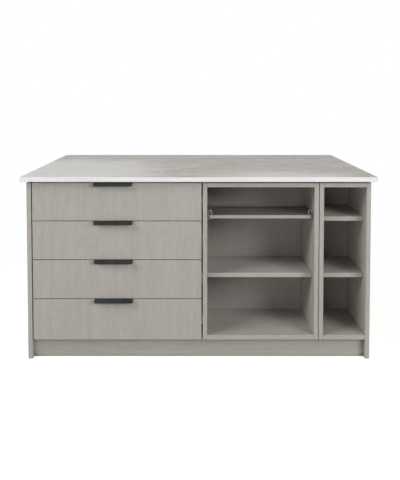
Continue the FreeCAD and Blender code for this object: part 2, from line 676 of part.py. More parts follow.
# --- Every node of the island -------------------------------------------------------------------
def carcass_nodes():
    drawer_bay = (-END_INNER_X, PARTITION_X)
    wide_bay = (WIDE_BAY_LEFT, WIDE_BAY_RIGHT)
    narrow_bay = (NARROW_BAY_LEFT, END_INNER_X)
    panel_seam = PARTITION_X + BOARD / 2
    return {
        "worktop": worktop(),
        "worktop_packers": worktop_packers(),
        "left_end_panel": left_end_panel(),
        "right_end_panel": right_end_panel(),
        "front_plinth": plinth(FRONT_Y + PLINTH_SETBACK, 1),
        "rear_plinth": plinth(REAR_Y - PLINTH_SETBACK, -1),
        "levelling_feet": levelling_feet(),
        "drawer_bay_bottom": drawer_bay_bottom(),
        "drawer_bay_back": drawer_bay_back(),
        "drawer_bay_top_rails": drawer_bay_top_rails(),
        "wide_bay_left_side": wide_bay_left_side(),
        "wide_bay_right_side": wide_bay_right_side(),
        "wide_bay_bottom": bay_bottom(wide_bay),
        "wide_bay_top": bay_top(wide_bay),
        "wide_bay_back": back_board(wide_bay, NICHE_BACK_Y),
        "wide_bay_shelf": bay_shelf(wide_bay, LOWER_SHELF_Z),
        "narrow_bay_left_side": narrow_bay_left_side(),
        "narrow_bay_bottom": bay_bottom(narrow_bay),
        "narrow_bay_top": bay_top(narrow_bay),
        "narrow_bay_back": back_board(narrow_bay, NICHE_BACK_Y),
        "narrow_bay_upper_shelf": bay_shelf(narrow_bay, UPPER_SHELF_Z),
        "narrow_bay_lower_shelf": bay_shelf(narrow_bay, LOWER_SHELF_Z),
        "shelf_pins": shelf_pins(),
        "rear_panel_behind_drawers": rear_panel((drawer_bay[0], panel_seam - BAY_JOINT / 2)),
        "rear_panel_behind_shelves": rear_panel((panel_seam + BAY_JOINT / 2, narrow_bay[1])),
        "drawer_runner_cabinet_members": drawer_runner_cabinet_members(),
        "pull_out_shelf_runner_cabinet_members": pull_out_shelf_runner_cabinet_members(),
    }


def drawer_nodes(name):
    prefix = name + "_drawer_"
    return {
        prefix + "front": drawer_front(name),
        prefix + "sides": drawer_sides(name),
        prefix + "box_ends": drawer_box_ends(name),
        prefix + "bottom": drawer_bottom(name, GROOVE_DEPTH - GROOVE_PLAY),
        prefix + "pull": drawer_pull(name),
        prefix + "runner_inner_members": drawer_runner_inner_members(name),
        prefix + "runner_middle_members": drawer_runner_middle_members(name),
    }


def pull_out_shelf_nodes():
    return {
        "pull_out_shelf_board": pull_out_shelf_board(),
        "pull_out_shelf_gallery": pull_out_shelf_gallery(),
        "pull_out_shelf_runner_inner_members": pull_out_shelf_runner_inner_members(),
    }


def build():
    nodes = carcass_nodes()
    for name in DRAWER_NAMES:
        nodes.update(drawer_nodes(name))
    nodes.update(pull_out_shelf_nodes())
    os.makedirs("parts", exist_ok=True)
    for node, shape in nodes.items():
        shape.exportStep("parts/" + node + ".step")


build()
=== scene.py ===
import math
import random

import bmesh
import bpy
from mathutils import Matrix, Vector

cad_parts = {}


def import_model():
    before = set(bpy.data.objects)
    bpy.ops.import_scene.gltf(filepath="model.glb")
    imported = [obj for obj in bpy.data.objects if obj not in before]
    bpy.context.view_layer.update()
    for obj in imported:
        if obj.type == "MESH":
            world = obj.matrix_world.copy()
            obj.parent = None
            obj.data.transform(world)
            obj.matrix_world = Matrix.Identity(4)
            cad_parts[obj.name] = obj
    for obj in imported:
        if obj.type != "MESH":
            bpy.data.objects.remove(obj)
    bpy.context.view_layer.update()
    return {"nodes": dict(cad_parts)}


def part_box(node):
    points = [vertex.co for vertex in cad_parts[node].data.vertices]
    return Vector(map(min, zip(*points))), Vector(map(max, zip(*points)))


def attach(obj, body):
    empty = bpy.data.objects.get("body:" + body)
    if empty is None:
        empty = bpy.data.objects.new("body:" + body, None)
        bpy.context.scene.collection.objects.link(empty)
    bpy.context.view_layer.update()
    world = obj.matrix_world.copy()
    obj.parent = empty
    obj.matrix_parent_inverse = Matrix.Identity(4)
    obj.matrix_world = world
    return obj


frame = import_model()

# A closet island with drawers: veneered boards, a stone worktop, black edge pulls and ball-bearing
# runners. Everything is in metres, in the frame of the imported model. The solids of the model stay as
# they are and get their finishes here. Only screws and the runners' release levers are added.

NODES = frame["nodes"]
DRAWERS = ("top", "second", "third", "bottom")

# --- Camera, from the perspective of the worktop and the fronts ----------------------------------
CAMERA_PLACE = (-0.0026, -3.3030, 1.3344)
CAMERA_PITCH = math.radians(2.4)
CAMERA_LENS = 43.06
CAMERA_SHIFT = (0.0036, -0.2571)

# --- Light and floor --------------------------------------------------------------------------------
# Each lamp's azimuth and elevation in degrees, and its power in watts. Azimuth 0 is straight in front
# of the island, and a positive one is to the right.
LAMPS = {"left_window": (-62.0, 41.0, 242.0),
         "right_window": (45.0, 22.0, 250.0),
         "low_fill": (-22.0, 5.0, 68.0),
         "back_left": (-140.0, 7.0, 140.0),
         "back_right": (140.0, 7.0, 140.0)}
LAMP_TARGET = (0.0, -0.45, 0.5)
LAMP_DISTANCE = 6.5
LAMP_SIZE = (3.2, 2.2)
AMBIENT = 0.05
WARM_WHITE = (1.0, 0.987, 0.970)
FLOOR_HALF = 14.0
FLOOR_GREY = (0.45, 0.45, 0.45, 1.0)
FLOOR_GLOW = 0.77
BOUNCE_GREY = (0.5, 0.5, 0.5, 1.0)
# The distances from the origin between which the floor fades into white.
SHADOW_FADE = (1.15, 1.9)

# --- Colours as they look in plain light, 0 to 255 -------------------------------------------------
VENEER_DARK = (154, 149, 144)
VENEER_PALE = (189, 185, 180)
# The bays' back boards: the veneer painted darker, as painted shade inside the bays.
SHADED_BACK_DARK = (134, 130, 126)
SHADED_BACK_PALE = (166, 163, 158)
# The pull-out shelf's board: the veneer painted darker, as painted shade in its bay.
SHADED_PULL_OUT_DARK = (139, 137, 133)
SHADED_PULL_OUT_PALE = (174, 172, 168)
# The plinth: the veneer painted darker, as painted shade under the bottom boards.
SHADED_PLINTH_DARK = (149, 144, 139)
SHADED_PLINTH_PALE = (184, 180, 175)
DRAWER_BOARD_DARK = (184, 173, 157)
DRAWER_BOARD_PALE = (214, 205, 191)
# Painted shade for the wood's joints and corners, and the dark seam round the glass plate.
SHADE_AND_SEAM_DARK = (38, 35, 32)
SMOKED_GLASS = (112, 111, 107)
SMOKED_GLASS_CLOUD = (122, 120, 116)
STONE_WHITE = (232, 233, 234)
# The slab's edges: whiter than its face, a painted highlight for the light on them.
STONE_LIT_EDGE = (236, 238, 240)
STONE_BEIGE = (178, 171, 162)
STONE_SAND = (204, 199, 193)
STONE_GREY = (222, 221, 219)
STONE_VEIN = (154, 140, 126)
STONE_ARRIS = (170, 152, 136)
PULL_BLACK = (37, 38, 40)
# The pulls' arrises: rubbed wear, with a painted highlight.
PULL_WORN_AND_HIGHLIT = (76, 77, 80)
STEEL = (192, 195, 199)
BRIGHT_STEEL = (158, 160, 163)
# Grease in the steel's joints, together with painted shade there.
GREASE_AND_SHADE_DARK = (22, 22, 23)
# The packers below the slab: painted dark, as painted shade under its overhang.
PACKER_SHADE_DARK = (58, 54, 49)
PACKER_SHADE_PALE = (84, 78, 71)
PLASTIC_BLACK = (34, 34, 35)
PLASTIC_DUSTY = (64, 63, 61)


def linear(colour):
    """A 0-255 screen colour as a linear RGBA colour."""
    channels = [value / 255 for value in colour]
    return tuple(v / 12.92 if v <= 0.04045 else ((v + 0.055) / 1.055) ** 2.4 for v in channels) + (1.0,)


# --- Small helpers for material nodes ---------------------------------------------------------------
# A constant named NOISE holds a noise's scale, detail, roughness and distortion, in that order, and may
# leave out the last ones. One named LEVELS holds the two values of a noise between which a mask rises.
# One named BUMP holds a bump's strength and distance.
USUAL_LEVELS = (0.3, 0.7)
MIDDLE = 0.5
# How nearly the rounded normal agrees with the flat one, from an arris to a flat face.
ARRIS_FACING = (0.75, 0.99)
# How open a place is to its surroundings, from a joint to an open face.
JOINT_OPENNESS = (0.1, 0.75)
JOINT_SAMPLES = 8


def feed(tree, node, feeds):
    """Link a node's inputs to sockets, or set them to values."""
    for key, value in feeds.items():
        if isinstance(value, bpy.types.NodeSocket):
            tree.links.new(value, node.inputs[key])
        else:
            node.inputs[key].default_value = value


def new_node(tree, kind, feeds, **settings):
    """A node of one kind, with its settings made and its inputs fed."""
    node = tree.nodes.new(kind)
    for key, value in settings.items():
        setattr(node, key, value)
    feed(tree, node, feeds)
    return node


class Recipe:
    """One node material, built up by short calls that return sockets."""

    def __init__(self, name):
        self.material = bpy.data.materials.new(name)
        self.material.use_nodes = True
        self.tree = self.material.node_tree
        self.shader = self.tree.nodes["Principled BSDF"]
        self.place = self.add("ShaderNodeTexCoord", {}).outputs["Object"]
        self.normal = None

    def add(self, kind, feeds, **settings):
        return new_node(self.tree, kind, feeds, **settings)

    def math(self, operation, *values, clamp=False):
        feeds = dict(enumerate(values))
        return self.add("ShaderNodeMath", feeds, operation=operation, use_clamp=clamp).outputs[0]

    def times(self, first, second):
        return self.math("MULTIPLY", first, second)

    def vector_math(self, operation, *values):
        return self.add("ShaderNodeVectorMath", dict(enumerate(values)), operation=operation).outputs[0]

    def split(self, vector):
        """The x, y and z sockets of a vector."""
        return self.add("ShaderNodeSeparateXYZ", {0: vector}).outputs

    def stretched(self, scale, offset=(0, 0, 0)):
        """The place on the object, moved by the offset and scaled along each axis."""
        moved = self.vector_math("ADD", self.place, offset)
        return self.vector_math("MULTIPLY", moved, scale)

    def noise(self, vector, scale, detail=2.0, roughness=0.5, distortion=0.0):
        feeds = {"Vector": vector, "Scale": scale, "Detail": detail, "Roughness": roughness,
                 "Distortion": distortion}
        return self.add("ShaderNodeTexNoise", feeds).outputs["Fac"]

    def range(self, value, low, high, to_low=0.0, to_high=1.0):
        """A value that goes smoothly from to_low, at or below low, to to_high, at or above high."""
        feeds = dict(enumerate((value, low, high, to_low, to_high)))
        return self.add("ShaderNodeMapRange", feeds, interpolation_type="SMOOTHSTEP").outputs[0]

    def spread(self, noise, to_low, to_high):
        """The usual values of a noise, spread from to_low to to_high."""
        return self.range(noise, *USUAL_LEVELS, to_low, to_high)

    def mix(self, factor, first, second):
        """A colour mix; an RGBA mix has its colours at the inputs 6 and 7 and the output 2."""
        return self.add("ShaderNodeMix", {0: factor, 6: first, 7: second}, data_type="RGBA").outputs[2]

    def sum(self, *shares):
        """One value: a sum of (share, value) pairs, each taken about the middle value."""
        total = MIDDLE
        for share, value in shares:
            term = self.times(self.math("SUBTRACT", value, MIDDLE), share)
            total = self.math("ADD", term, total)
        return total

    def rounded_edges(self, radius):
        """Shade the arrises as rounded, and return a mask that is 1 on them."""
        self.normal = self.add("ShaderNodeBevel", {"Radius": radius}).outputs[0]
        flat = self.add("ShaderNodeNewGeometry", {}).outputs["True Normal"]
        feeds = {0: self.normal, 1: flat}
        facing = self.add("ShaderNodeVectorMath", feeds, operation="DOT_PRODUCT").outputs["Value"]
        return self.range(facing, *ARRIS_FACING, 1.0, 0.0)

    def crevices(self, reach):
        """1 in narrow joints and deep corners, where neighbours stand within the reach, else 0; this places
        painted shade.
        """
        node = self.add("ShaderNodeAmbientOcclusion", {"Distance": reach}, samples=JOINT_SAMPLES)
        return self.range(node.outputs["AO"], *JOINT_OPENNESS, 1.0, 0.0)

    def bump(self, height, strength, distance):
        """Raise the surface by a height, on top of its rounded edges where it has them."""
        feeds = {"Strength": strength, "Distance": distance, "Height": height}
        if self.normal:
            feeds["Normal"] = self.normal
        node = self.add("ShaderNodeBump", feeds)
        feed(self.tree, self.shader, {"Normal": node.outputs[0]})

    def finish(self, looks):
        """Feed the shader's own inputs, and return the material."""
        feed(self.tree, self.shader, looks)
        return self.material


# --- Wood -------------------------------------------------------------------------------------------
# A STRETCH is how a layer of the grain is drawn out along the board: smaller is longer.
WANDER_STRETCH = 0.4
WANDER_NOISE = (2.6, 2.0)
GRAIN_SWAY = 0.11
FIGURE_STRETCH = 0.07
FIGURE_NOISE = (26.0, 4.0, 0.6, 0.4)
FIGURE_SHARE = 0.50
STREAK_STRETCH = 0.2
STREAK_NOISE = (105.0, 3.0, 0.55, 0.3)
STREAK_SHARE = 0.55
MOTTLE_STRETCH = 0.45
MOTTLE_NOISE = (48.0, 3.0, 0.6)
MOTTLE_SHARE = 0.30
PORE_STRETCH = 0.045
PORE_NOISE = (900.0, 2.0)
PORE_LEVELS = (0.55, 0.70)
PORE_SHARE = -0.20
SEED_REACH = 3
WOOD_ARRIS = 0.0012
WOOD_WEAR_NOISE = (90.0, 3.0)
WOOD_WEAR = 0.3
# How far from a neighbour painted shade reaches in joints and corners, and how strongly it darkens the
# veneer.
JOINT_REACH = 0.006
PLINTH_SHADE_REACH = 0.030
JOINT_SHADE_STRENGTH = 0.85
WOOD_ROUGHNESS = 0.5
SMOOTHER = 0.05
ROUGHER = 0.08
STREAK_RELIEF = 0.4
WOOD_BUMP = (0.3, 0.0003)
WOOD_SPECULAR = 0.12

# The glass plate keeps these distances from the sides and from the front and back of its board.
GLASS_MARGINS = (0.005, 0.008)
GLASS_SEAM = 0.0008
GLASS_OUTLINE = 0.0003
GLASS_FACING = (0.7, 0.9)
GLASS_CLOUD_NOISE = (9.0, 3.0)
SMEAR_STRETCH = (1.0, 3.0, 1.0)
SMEAR_NOISE = (14.0, 4.0, 0.6, 0.8)
SMEAR_LEVELS = (0.35, 0.75)
GLASS_ROUGHNESS = (0.06, 0.16)
GLASS_SPECULAR = 0.5


def axis_scale(axis, along, across):
    """One scale along an axis, and another across it."""
    return tuple(along if letter == axis else across for letter in "xyz")


def upper_face(recipe, box, inset):
    """1 on the upper face of a box, that far inside the glass plate's outline, else 0."""
    normal = recipe.add("ShaderNodeNewGeometry", {}).outputs["True Normal"]
    mask = recipe.range(recipe.split(normal)[2], *GLASS_FACING)
    for place, low, high, margin in zip(recipe.split(recipe.place), box[0], box[1], GLASS_MARGINS):
        for edge, inward in ((low, 1.0), (high, -1.0)):
            start = edge + inward * (margin + inset)
            mask = recipe.times(mask, recipe.range(place, start, start + inward * GLASS_OUTLINE))
    return mask


def glass_plate(recipe, colour, rough, height, box):
    """A plate of smoked glass let into the upper face, with a dark seam round it and faint smears."""
    recess = upper_face(recipe, box, 0.0)
    plate = upper_face(recipe, box, GLASS_SEAM)
    cloud = recipe.noise(recipe.place, *GLASS_CLOUD_NOISE)
    smears = recipe.noise(recipe.stretched(SMEAR_STRETCH), *SMEAR_NOISE)
    glass = recipe.mix(cloud, linear(SMOKED_GLASS), linear(SMOKED_GLASS_CLOUD))
    colour = recipe.mix(recess, colour, linear(SHADE_AND_SEAM_DARK))
    colour = recipe.mix(plate, colour, glass)
    gloss = recipe.range(smears, *SMEAR_LEVELS, *GLASS_ROUGHNESS)
    rough_wood = recipe.times(rough, recipe.math("SUBTRACT", 1.0, plate))
    rough = recipe.math("ADD", rough_wood, recipe.times(gloss, plate))
    height = recipe.times(height, recipe.math("SUBTRACT", 1.0, recess))
    return colour, rough, height


def wood(name, axis, seed, tones, roughness=WOOD_ROUGHNESS, strength=1.0, shade_reach=JOINT_REACH,
         glass_on=None):
    """Stained open-pored veneer: slow figure, short streaks, fine dark pores, soft arrises, and painted
    shade in joints and corners.
    """
    recipe = Recipe(name)
    dark, pale = [linear(shade) for shade in tones]
    draw = random.Random(seed)
    offset = tuple(draw.uniform(-SEED_REACH, SEED_REACH) for _ in range(3))

    def drawn_out(stretch):
        return recipe.stretched(axis_scale(axis, stretch, 1.0), offset)

    wander = recipe.noise(drawn_out(WANDER_STRETCH), *WANDER_NOISE)
    sway = recipe.vector_math("MULTIPLY", wander, (GRAIN_SWAY,) * 3)
    figure = recipe.noise(recipe.vector_math("ADD", drawn_out(FIGURE_STRETCH), sway), *FIGURE_NOISE)
    streaks = recipe.noise(recipe.vector_math("ADD", drawn_out(STREAK_STRETCH), sway), *STREAK_NOISE)
    mottle = recipe.noise(drawn_out(MOTTLE_STRETCH), *MOTTLE_NOISE)
    pores = recipe.range(recipe.noise(drawn_out(PORE_STRETCH), *PORE_NOISE), *PORE_LEVELS)
    tone = recipe.sum((FIGURE_SHARE * strength, figure), (STREAK_SHARE * strength, streaks),
                      (MOTTLE_SHARE * strength, mottle), (PORE_SHARE * strength, pores))
    wear = recipe.spread(recipe.noise(recipe.place, *WOOD_WEAR_NOISE), 0.0, WOOD_WEAR)
    paler_edges = recipe.times(recipe.rounded_edges(WOOD_ARRIS), wear)
    colour = recipe.mix(recipe.math("ADD", tone, paler_edges, clamp=True), dark, pale)
    # Painted shade: the veneer darkens in joints and corners, where neighbours stand close.
    painted_shade = recipe.times(recipe.crevices(shade_reach), JOINT_SHADE_STRENGTH)
    colour = recipe.mix(painted_shade, colour, linear(SHADE_AND_SEAM_DARK))
    rough = recipe.spread(streaks, roughness - SMOOTHER, roughness + ROUGHER)
    height = recipe.math("SUBTRACT", recipe.times(streaks, STREAK_RELIEF), pores)
    specular = WOOD_SPECULAR
    if glass_on:
        colour, rough, height = glass_plate(recipe, colour, rough, height, glass_on)
        specular = GLASS_SPECULAR
    recipe.bump(height, *WOOD_BUMP)
    return recipe.finish({"Base Color": colour, "Roughness": rough, "Specular IOR Level": specular})


# --- Stone ------------------------------------------------------------------------------------------
# Each pale patch is an oval: the place of its middle, and its reach along x and y.
PALE_PATCHES = (((-0.62, -0.24), (0.42, 0.50)), ((0.44, -0.62), (0.38, 0.36)))
PATCH_RIM = (0.60, 1.30)
PATCH_DRIFT = 1.3
FLOW_TURN = math.radians(24)
FLOW_SCALE = (0.9, 1.5, 1.5)
DRIFT_NOISE = (1.6, 6.0, 0.58, 0.9)
STONE_CLOUD_NOISE = (4.6, 8.0, 0.64, 0.5)
BEIGE_LEVELS = (0.38, 0.62)
PALE_LEVELS = (0.40, 0.75)
PALE_LINE_NOISE = (3.1, 4.0, 0.55, 0.5)
PALE_LINE_WIDTH = 0.022
PALE_LINE_LEVELS = (0.40, 0.60)
PALE_LINE_STRENGTH = 0.45
VEIN_NOISE = (2.2, 4.0, 0.55, 0.7)
VEIN_WIDTH = 0.011
VEIN_LEVELS = (0.44, 0.60)
VEIN_STRENGTH = 0.55
SPECK_NOISE = (150.0, 5.0, 0.65)
SPECK_LEVELS = (0.35, 0.7)
SPECK_STRENGTH = 0.09
# The slab's edge, measured down from its top, and the browner layer, measured in from its sides.
SLAB_EDGE_DEPTHS = (0.0030, 0.0004)
SLAB_EDGE_LEVELS = (0.35, 0.7)
SLAB_EDGE_CLOUD = 0.5
SLAB_ARRIS = 0.0025
SLAB_SIDE_DEPTHS = (0.012, 0.002)
SLAB_SIDE_STRENGTH = 0.7
STONE_ROUGHNESS = (0.30, 0.40)
STONE_SPECULAR = 0.05
STONE_RELIEF_NOISE = (60.0, 3.0)
STONE_BUMP = (0.03, 0.0004)


def patch_reach(recipe, place, centre, radii):
    """0 in the middle of an oval patch, 1 on its rim."""
    inward = recipe.vector_math("SUBTRACT", place, (centre[0], centre[1], 0.0))
    scaled = recipe.vector_math("MULTIPLY", inward, (1 / radii[0], 1 / radii[1], 0.0))
    return recipe.add("ShaderNodeVectorMath", {0: scaled}, operation="LENGTH").outputs["Value"]


def ridges(recipe, place, noise, width):
    """1 on thin wandering lines, where a noise crosses its middle value."""
    from_middle = recipe.math("SUBTRACT", recipe.noise(place, *noise), MIDDLE)
    return recipe.range(recipe.math("ABSOLUTE", from_middle), 0.0, width, 1.0, 0.0)


def stone(name, box):
    """Satin quartzite: pale patches in soft beige drifts, with grey clouds and thin veins."""
    recipe = Recipe(name)
    white = linear(STONE_WHITE)
    grey = linear(STONE_GREY)
    vein = linear(STONE_VEIN)
    feeds = {"Vector": recipe.place, "Rotation": (0.0, 0.0, FLOW_TURN), "Scale": FLOW_SCALE}
    flow = recipe.add("ShaderNodeMapping", feeds).outputs[0]
    drift = recipe.noise(flow, *DRIFT_NOISE)
    cloud = recipe.noise(flow, *STONE_CLOUD_NOISE)
    beige = recipe.mix(recipe.range(cloud, *BEIGE_LEVELS), linear(STONE_BEIGE), linear(STONE_SAND))
    pale = recipe.mix(recipe.range(cloud, *PALE_LEVELS), grey, white)
    reach = recipe.math("MINIMUM", *[patch_reach(recipe, recipe.place, *patch) for patch in PALE_PATCHES])
    wavy = recipe.times(recipe.math("SUBTRACT", drift, MIDDLE), PATCH_DRIFT)
    colour = recipe.mix(recipe.range(recipe.math("ADD", reach, wavy), *PATCH_RIM), pale, beige)
    pale_lines = recipe.times(ridges(recipe, flow, PALE_LINE_NOISE, PALE_LINE_WIDTH),
                              recipe.range(drift, *PALE_LINE_LEVELS))
    colour = recipe.mix(recipe.times(pale_lines, PALE_LINE_STRENGTH), colour, white)
    veins = recipe.times(ridges(recipe, flow, VEIN_NOISE, VEIN_WIDTH), recipe.range(cloud, *VEIN_LEVELS))
    colour = recipe.mix(recipe.times(veins, VEIN_STRENGTH), colour, vein)
    speck = recipe.noise(recipe.place, *SPECK_NOISE)
    colour = recipe.mix(recipe.range(speck, *SPECK_LEVELS, 0.0, SPECK_STRENGTH), colour, vein)

    # The edges of the slab are painted whiter than its face, a painted highlight for the light falling on
    # them, and the side arrises show a browner layer.
    across, _, height = recipe.split(recipe.place)
    below_top = recipe.range(height, *[box[1].z - depth for depth in SLAB_EDGE_DEPTHS], 1.0, 0.0)
    edge_cloud = recipe.range(cloud, *SLAB_EDGE_LEVELS, 0.0, SLAB_EDGE_CLOUD)
    colour = recipe.mix(below_top, colour, recipe.mix(edge_cloud, linear(STONE_LIT_EDGE), grey))
    from_middle = recipe.math("ABSOLUTE", across)
    at_side = recipe.range(from_middle, *[box[1].x - depth for depth in SLAB_SIDE_DEPTHS])
    layer = recipe.times(recipe.rounded_edges(SLAB_ARRIS), at_side)
    colour = recipe.mix(recipe.times(layer, SLAB_SIDE_STRENGTH), colour, linear(STONE_ARRIS))
    recipe.bump(recipe.noise(recipe.place, *STONE_RELIEF_NOISE), *STONE_BUMP)
    rough = recipe.spread(cloud, *STONE_ROUGHNESS)
    return recipe.finish({"Base Color": colour, "Roughness": rough, "Specular IOR Level": STONE_SPECULAR})


# --- Metal, plastic and the packer board painted dark as shade ----------------------------------------
POWDER_NOISE = (1400.0, 2.0)
POWDER_CLOUD_NOISE = (22.0, 3.0)
POWDER_CLOUD = 0.3
POWDER_ARRIS = 0.0008
POWDER_WEAR_AND_HIGHLIGHT = 0.6
POWDER_ROUGHNESS = (0.42, 0.56)
POWDER_SPECULAR = 0.2
POWDER_BUMP = (0.25, 0.0001)

LINES_ALONG = 4.0
LINES_ACROSS = 900.0
LINES_NOISE = (1.0, 2.0)
LINES_LEVELS = (0.35, 0.75)
LINES_STRENGTH = 0.3
STEEL_CLOUD_NOISE = (35.0, 3.0)
STEEL_CLOUD_LEVELS = (0.35, 0.7)
STEEL_CLOUD = 0.5
DARK_STEEL_SHARE = 0.82
STEEL_SMOOTHER = 0.04
STEEL_ROUGHER = 0.08
STEEL_BUMP = (0.12, 0.0001)

PLASTIC_NOISE = (900.0, 3.0)
DUST_NOISE = (18.0, 4.0)
DUST_LEVELS = (0.4, 0.75)
DUST_STRENGTH = 0.4
PLASTIC_ROUGHNESS = (0.45, 0.62)
PLASTIC_BUMP = (0.3, 0.0001)

FIBRE_NOISE = (260.0, 5.0, 0.65)
FIBRE_LEVELS = (0.35, 0.7)
FIBRE_ROUGHNESS = (0.7, 0.85)
FIBRE_BUMP = (0.4, 0.0004)


def powder_black(name):
    """Fine-textured black powder coat, paler along the edges: rubbed wear with a painted highlight."""
    recipe = Recipe(name)
    grain = recipe.noise(recipe.place, *POWDER_NOISE)
    cloud = recipe.spread(recipe.noise(recipe.place, *POWDER_CLOUD_NOISE), 0.0, POWDER_CLOUD)
    # Rubbed wear with a painted highlight makes the pull's arrises paler.
    paler_edges = recipe.times(recipe.rounded_edges(POWDER_ARRIS), POWDER_WEAR_AND_HIGHLIGHT)
    shade = recipe.math("MAXIMUM", cloud, paler_edges)
    colour = recipe.mix(shade, linear(PULL_BLACK), linear(PULL_WORN_AND_HIGHLIT))
    rough = recipe.spread(grain, *POWDER_ROUGHNESS)
    recipe.bump(grain, *POWDER_BUMP)
    return recipe.finish({"Base Color": colour, "Roughness": rough, "Specular IOR Level": POWDER_SPECULAR})


def steel(name, colour, axis, roughness, grease_and_shade):
    """Zinc-plated or polished steel, with drawing lines along one axis, clouds, and grease with painted
    shade in joints.
    """
    recipe = Recipe(name)
    lines = recipe.noise(recipe.stretched(axis_scale(axis, LINES_ALONG, LINES_ACROSS)), *LINES_NOISE)
    cloud = recipe.noise(recipe.place, *STEEL_CLOUD_NOISE)
    dark = linear(tuple(int(value * DARK_STEEL_SHARE) for value in colour))
    clouded = recipe.range(cloud, *STEEL_CLOUD_LEVELS, 0.0, STEEL_CLOUD)
    base = recipe.mix(clouded, linear(colour), dark)
    base = recipe.mix(recipe.range(lines, *LINES_LEVELS, 0.0, LINES_STRENGTH), base, dark)
    # Grease and painted shade darken the steel in its joints.
    base = recipe.mix(recipe.times(recipe.crevices(JOINT_REACH), grease_and_shade), base, linear(GREASE_AND_SHADE_DARK))
    rough = recipe.spread(lines, roughness - STEEL_SMOOTHER, roughness + STEEL_ROUGHER)
    recipe.bump(lines, *STEEL_BUMP)
    return recipe.finish({"Base Color": base, "Roughness": rough, "Metallic": 1.0})


def moulded_plastic(name):
    """Black moulded plastic with a fine spark-eroded skin and a little dust."""
    recipe = Recipe(name)
    grain = recipe.noise(recipe.place, *PLASTIC_NOISE)
    dust = recipe.range(recipe.noise(recipe.place, *DUST_NOISE), *DUST_LEVELS, 0.0, DUST_STRENGTH)
    colour = recipe.mix(dust, linear(PLASTIC_BLACK), linear(PLASTIC_DUSTY))
    rough = recipe.spread(grain, *PLASTIC_ROUGHNESS)
    recipe.bump(grain, *PLASTIC_BUMP)
    return recipe.finish({"Base Color": colour, "Roughness": rough})


def shade_painted_packer_board(name):
    """A strip of board below the slab, painted dark as painted shade under the slab's overhang."""
    recipe = Recipe(name)
    fibres = recipe.noise(recipe.place, *FIBRE_NOISE)
    colour = recipe.mix(recipe.range(fibres, *FIBRE_LEVELS), linear(PACKER_SHADE_DARK), linear(PACKER_SHADE_PALE))
    rough = recipe.spread(fibres, *FIBRE_ROUGHNESS)
    recipe.bump(fibres, *FIBRE_BUMP)
    return recipe.finish({"Base Color": colour, "Roughness": rough})


# --- Dressing the nodes -------------------------------------------------------------------------------
VENEER_TONES = (VENEER_DARK, VENEER_PALE)
SHADED_BACK_TONES = (SHADED_BACK_DARK, SHADED_BACK_PALE)
SHADED_PLINTH_TONES = (SHADED_PLINTH_DARK, SHADED_PLINTH_PALE)
SHADED_PULL_OUT_TONES = (SHADED_PULL_OUT_DARK, SHADED_PULL_OUT_PALE)
DRAWER_TONES = (DRAWER_BOARD_DARK, DRAWER_BOARD_PALE)

UPRIGHTS = ("left_end_panel", "right_end_panel", "wide_bay_left_side", "wide_bay_right_side",
            "narrow_bay_left_side", "rear_panel_behind_drawers", "rear_panel_behind_shelves")
PLINTHS = ("front_plinth", "rear_plinth")
LEVEL_BOARDS = ("drawer_bay_bottom", "drawer_bay_top_rails",
                "wide_bay_bottom", "wide_bay_top", "wide_bay_shelf", "narrow_bay_bottom",
                "narrow_bay_top", "narrow_bay_upper_shelf", "narrow_bay_lower_shelf")
BACKS = ("wide_bay_back", "narrow_bay_back", "drawer_bay_back")

# The seed of a group's first board, or of the first drawer's box; each next one takes the next seed.
# The drawer fronts all have one seed.
UPRIGHT_SEED = 10
PLINTH_SEED = 40
LEVEL_SEED = 42
PULL_OUT_SEED = 51
BACK_SEED = 70
FRONT_SEED = 5
DRAWER_BOX_SEED = 90

DRAWER_BOX_GRAIN = (("sides", "y"), ("box_ends", "x"), ("bottom", "x"))
DRAWER_BOX_ROUGHNESS = 0.42
DRAWER_BOX_STRENGTH = 0.7
RUNNER_ROUGHNESS = 0.26
GALLERY_ROUGHNESS = 0.24
RUNNER_GREASE_AND_SHADE = 0.94
PULL_OUT_RUNNER_GREASE_AND_SHADE = 0.4
GALLERY_GREASE_AND_SHADE = 0.1


def dress(node, material):
    """Put one material in every slot of a node."""
    for slot in NODES[node].material_slots:
        slot.material = material


def dress_boards():
    """Each board has a seed of its own; the grain runs up the uprights and across the level boards."""
    for index, node in enumerate(UPRIGHTS):
        dress(node, wood("veneer_" + node, "z", UPRIGHT_SEED + index, VENEER_TONES))
    for index, node in enumerate(LEVEL_BOARDS):
        dress(node, wood("veneer_" + node, "x", LEVEL_SEED + index, VENEER_TONES))
    # The pull-out board takes darker veneer, painted shade for its place in the top bay.
    glass_topped = wood("glass_topped_pull_out_shelf_board", "x", PULL_OUT_SEED, SHADED_PULL_OUT_TONES,
                        glass_on=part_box("pull_out_shelf_board"))
    dress("pull_out_shelf_board", glass_topped)
    for index, node in enumerate(PLINTHS):
        # The plinths take darker veneer and a wider reach of painted shade, both for the shade under the
        # boards above.
        dress(node, wood("veneer_" + node, "x", PLINTH_SEED + index, SHADED_PLINTH_TONES,
                         shade_reach=PLINTH_SHADE_REACH))
    # The backs take darker veneer, painted shade for the inside of the bays.
    for index, node in enumerate(BACKS):
        dress(node, wood("veneer_" + node, "z", BACK_SEED + index, SHADED_BACK_TONES))


def dress_drawers():
    """The four fronts are cut from one sheet, so they share a seed and the figure runs through."""
    for index, name in enumerate(DRAWERS):
        front = name + "_drawer_front"
        dress(front, wood("veneer_" + front, "z", FRONT_SEED, VENEER_TONES))
        for part, axis in DRAWER_BOX_GRAIN:
            node = name + "_drawer_" + part
            dress(node, wood("box_" + node, axis, DRAWER_BOX_SEED + index, DRAWER_TONES,
                             DRAWER_BOX_ROUGHNESS, DRAWER_BOX_STRENGTH))
        pull = name + "_drawer_pull"
        dress(pull, powder_black("black_" + pull))


